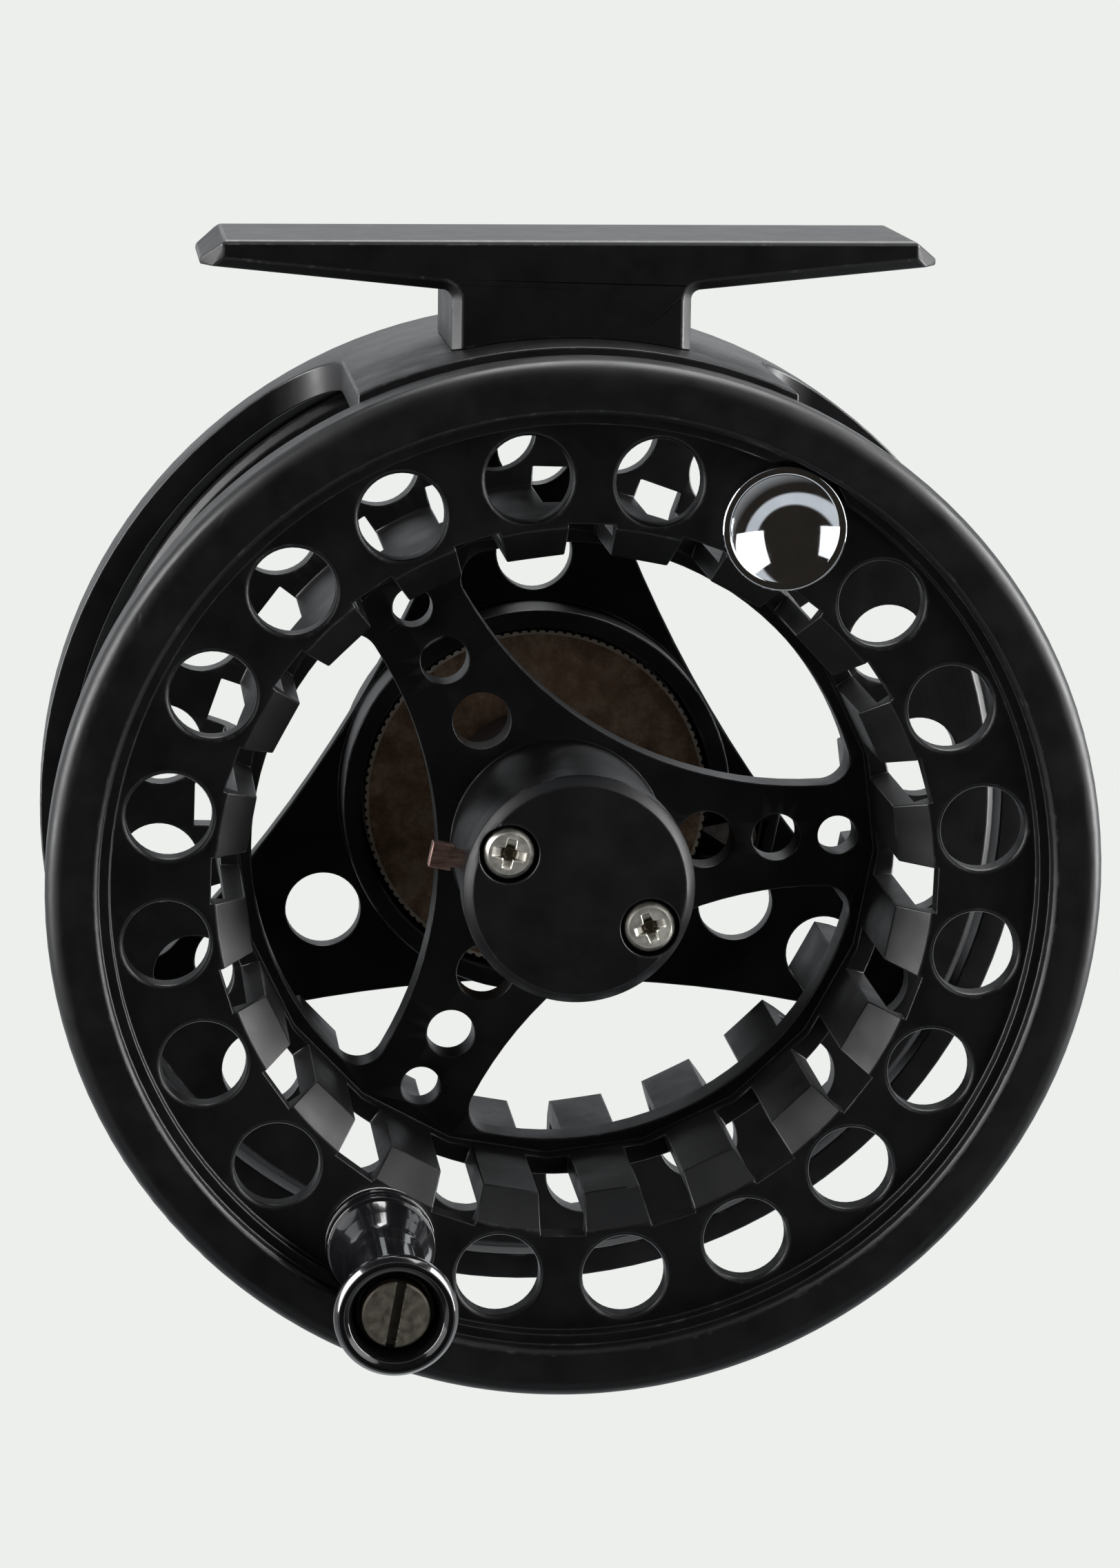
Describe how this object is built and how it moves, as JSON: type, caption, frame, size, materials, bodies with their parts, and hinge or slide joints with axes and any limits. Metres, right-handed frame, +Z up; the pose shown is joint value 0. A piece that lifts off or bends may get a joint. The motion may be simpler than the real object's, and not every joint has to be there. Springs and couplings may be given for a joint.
{
  "type": "fly fishing reel",
  "caption": "Ported large-arbor fly reel: spool on bearings in a half frame under a reel foot, with handle, counterweight, release latch and disc drag.",
  "frame": {"origin": "centre of the reel foot's flat top face, which lies against the rod's reel seat", "axes": "+Z up into the rod, -Y towards the handle side, +Y towards the drag knob, +X along the foot to the right seen from the handle side"},
  "size_m": [0.0862, 0.0705, 0.094],
  "materials": {
    "frame_black": "satin black anodising",
    "foot_black": "satin black anodising, bright where worn",
    "spool_black": "satin black anodising",
    "cap_black": "satin black anodising",
    "knob_black": "satin black anodising",
    "nickel": "bright nickel plate",
    "bright_chrome": "polished chrome plate",
    "steel": "ground steel",
    "spring_steel": "drawn spring steel",
    "dull_bronze": "dull bronze-grey plate",
    "copper": "brushed copper colour",
    "disc_bronze": "mottled bronze-brown",
    "handle_gloss": "gloss black",
    "acetal": "white acetal",
    "friction": "brown friction composite"
  },
  "bodies": {
    "frame": {"frame": "frame_black", "reel_foot": "foot_black", "foot_screws": "steel", "spindle": "steel", "sleeve_clip": "spring_steel", "thrust_washer": "acetal", "drag_washer": "friction", "pressure_plate": "steel", "drag_springs": "spring_steel", "pawl_pin": "steel", "click_spring": "spring_steel", "knob_screw": "steel"},
    "drive_sleeve": {"drive_sleeve": "steel"},
    "spool": {"spool": "spool_black", "hub_cap": "cap_black", "cap_screws": "nickel", "latch_clip": "spring_steel", "bearing_outer_rings": "steel", "bearing_inner_rings": "steel", "bearing_balls": "bright_chrome", "counterweight": "bright_chrome", "handle_post": "steel", "handle_washer": "acetal", "handle_screw": "dull_bronze"},
    "release_latch": {"release_latch": "copper"},
    "handle_knob": {"handle_knob": "handle_gloss", "handle_bushing": "acetal"},
    "drag_disc": {"drag_disc": "disc_bronze", "clutch_shell": "steel", "clutch_cage": "acetal", "clutch_rollers": "steel"},
    "drag_knob": {"drag_knob": "knob_black", "knob_cap": "cap_black", "detent_ball": "steel", "detent_spring": "spring_steel"},
    "drag_nut": {"drag_nut": "disc_bronze", "thrust_plate": "steel"},
    "click_pawl": {"click_pawl": "steel"}
  },
  "joints": [
    {"name": "spool_spin", "type": "hinge", "parent": "frame", "child": "drive_sleeve", "pos_m": [0, 0, -0.0509], "axis": [0, 1, 0], "continuous": true},
    {"name": "spool_pull_off", "type": "slide", "parent": "drive_sleeve", "child": "spool", "axis": [0, -1, 0], "range_m": [0, 0.036], "deforming": ["latch_clip"]},
    {"name": "handle_spin", "type": "hinge", "parent": "spool", "child": "handle_knob", "pos_m": [-0.0159, -0.02, -0.08013], "axis": [0, 1, 0], "continuous": true},
    {"name": "latch_press", "type": "slide", "parent": "spool", "child": "release_latch", "axis": [0.9799, 0, -0.1994], "range_m": [0, 0.001], "stiffness_N_per_m": 600, "springref_m": -0.0005, "deforming": ["latch_clip"]},
    {"name": "drag_slip", "type": "hinge", "parent": "frame", "child": "drag_disc", "pos_m": [0, 0, -0.0509], "axis": [0, 1, 0], "continuous": true},
    {"name": "drag_turn", "type": "hinge", "parent": "frame", "child": "drag_knob", "pos_m": [0, 0, -0.0509], "axis": [0, -1, 0], "range_deg": [0, 300]},
    {"name": "drag_nut_travel", "type": "slide", "parent": "frame", "child": "drag_nut", "axis": [0, -1, 0], "range_m": [0, 0.000834], "deforming": ["drag_springs"]},
    {"name": "click_rock", "type": "hinge", "parent": "frame", "child": "click_pawl", "pos_m": [0.01806, 0.0169, -0.05441], "axis": [0, 1, 0], "range_deg": [-12, 12], "stiffness_Nm_per_rad": 0.01, "deforming": ["click_spring"]}
  ],
  "couplings": [
    {"joint": "drag_nut_travel", "follows": "drag_turn", "m_per_rad": 0.00015915}
  ]
}
